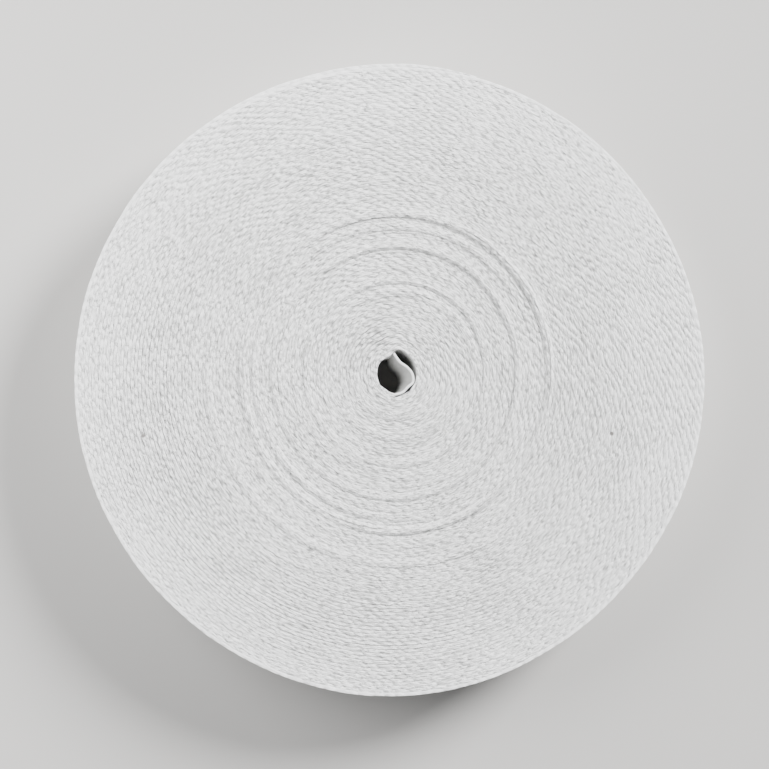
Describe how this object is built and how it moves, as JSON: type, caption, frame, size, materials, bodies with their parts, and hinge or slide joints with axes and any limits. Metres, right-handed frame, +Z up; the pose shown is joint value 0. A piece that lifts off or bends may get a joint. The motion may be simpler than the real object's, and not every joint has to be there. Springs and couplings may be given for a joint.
{
  "type": "roll of woven ribbon",
  "caption": "Coreless roll of white woven ribbon lying flat, with a few turns standing proud and the inner end loose in the hole.",
  "frame": {"origin": "on the surface that the roll lies on, under the middle of the roll's box", "axes": "+Z up through the roll, along the ribbon's width; +Y towards the top of the picture, where the loose end's cut edge lies"},
  "size_m": [0.15, 0.1506, 0.0206],
  "materials": {
    "ribbon_edges": "matt",
    "ribbon_face": "satin"
  },
  "bodies": {
    "root": {"ribbon_roll": "ribbon_edges", "inner_end": "ribbon_face"}
  },
  "joints": []
}
